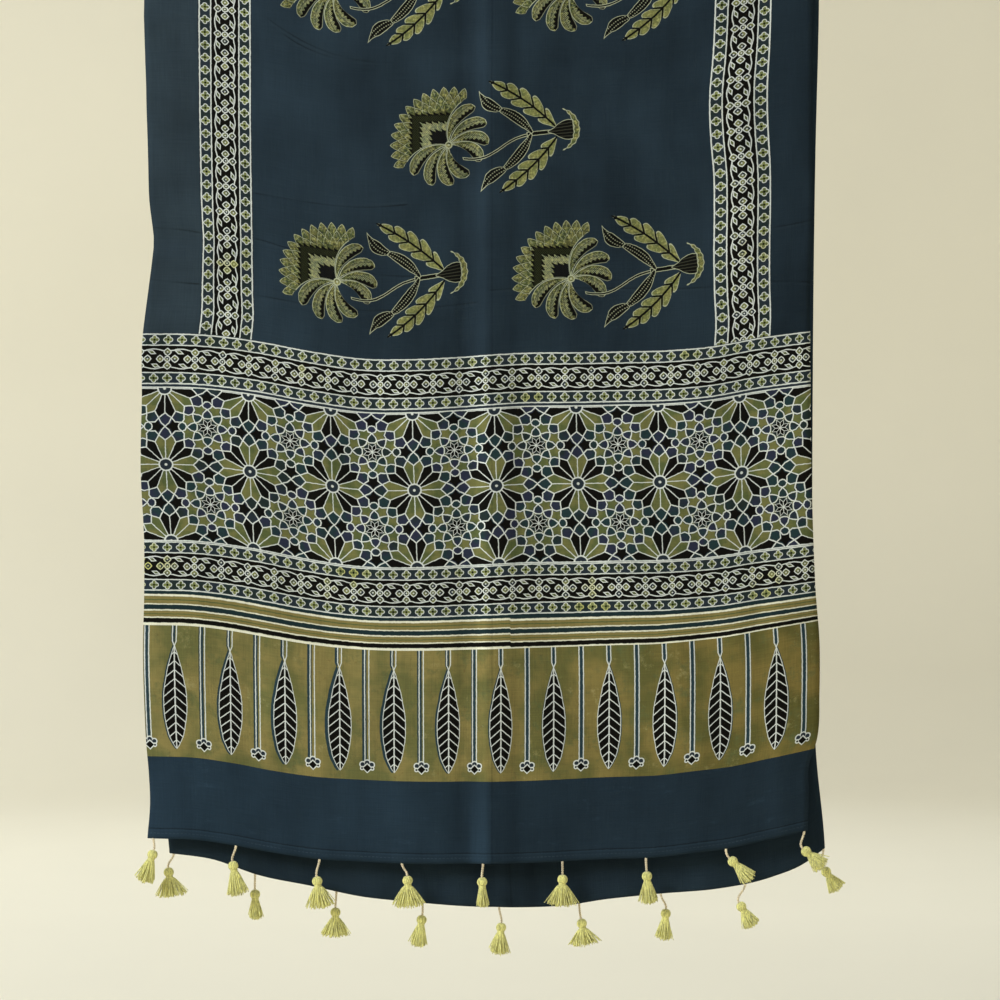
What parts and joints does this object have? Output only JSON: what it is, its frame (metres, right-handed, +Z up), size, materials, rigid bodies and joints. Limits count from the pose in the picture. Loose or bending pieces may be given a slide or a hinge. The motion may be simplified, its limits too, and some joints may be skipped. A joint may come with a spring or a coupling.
{
  "type": "hanging ajrakh stole",
  "caption": "Block-printed ajrakh stole hanging doubled over a line: one thin cloth with hemmed ends and yarn tassels tied along both of them.",
  "frame": {"origin": "the middle of the fold's crest, by which the doubled stole hangs", "axes": "+Z up, +X to the right of someone facing the front layer, +Y from the front layer to the back one"},
  "size_m": [0.5981, 0.0301, 1.084],
  "materials": {
    "indigo_cloth": "soft matt printed cloth, indigo with olive, black and cream print",
    "sage_yarn": "matt cotton yarn",
    "cream_yarn": "matt twisted yarn"
  },
  "bodies": {
    "root": {"cloth": "indigo_cloth", "tassel_front_1": "sage_yarn", "tassel_front_2": "sage_yarn", "tassel_front_3": "sage_yarn", "tassel_front_4": "sage_yarn", "tassel_front_5": "sage_yarn", "tassel_front_6": "sage_yarn", "tassel_front_7": "sage_yarn", "tassel_front_8": "sage_yarn", "tassel_front_9": "sage_yarn", "tassel_back_1": "sage_yarn", "tassel_back_2": "sage_yarn", "tassel_back_3": "sage_yarn", "tassel_back_4": "sage_yarn", "tassel_back_5": "sage_yarn", "tassel_back_6": "sage_yarn", "tassel_back_7": "sage_yarn", "tassel_back_8": "sage_yarn", "tassel_back_9": "sage_yarn", "tie_front_1": "cream_yarn", "tie_front_2": "cream_yarn", "tie_front_3": "cream_yarn", "tie_front_4": "cream_yarn", "tie_front_5": "cream_yarn", "tie_front_6": "cream_yarn", "tie_front_7": "cream_yarn", "tie_front_8": "cream_yarn", "tie_front_9": "cream_yarn", "tie_back_1": "cream_yarn", "tie_back_2": "cream_yarn", "tie_back_3": "cream_yarn", "tie_back_4": "cream_yarn", "tie_back_5": "cream_yarn", "tie_back_6": "cream_yarn", "tie_back_7": "cream_yarn", "tie_back_8": "cream_yarn", "tie_back_9": "cream_yarn"}
  },
  "joints": []
}
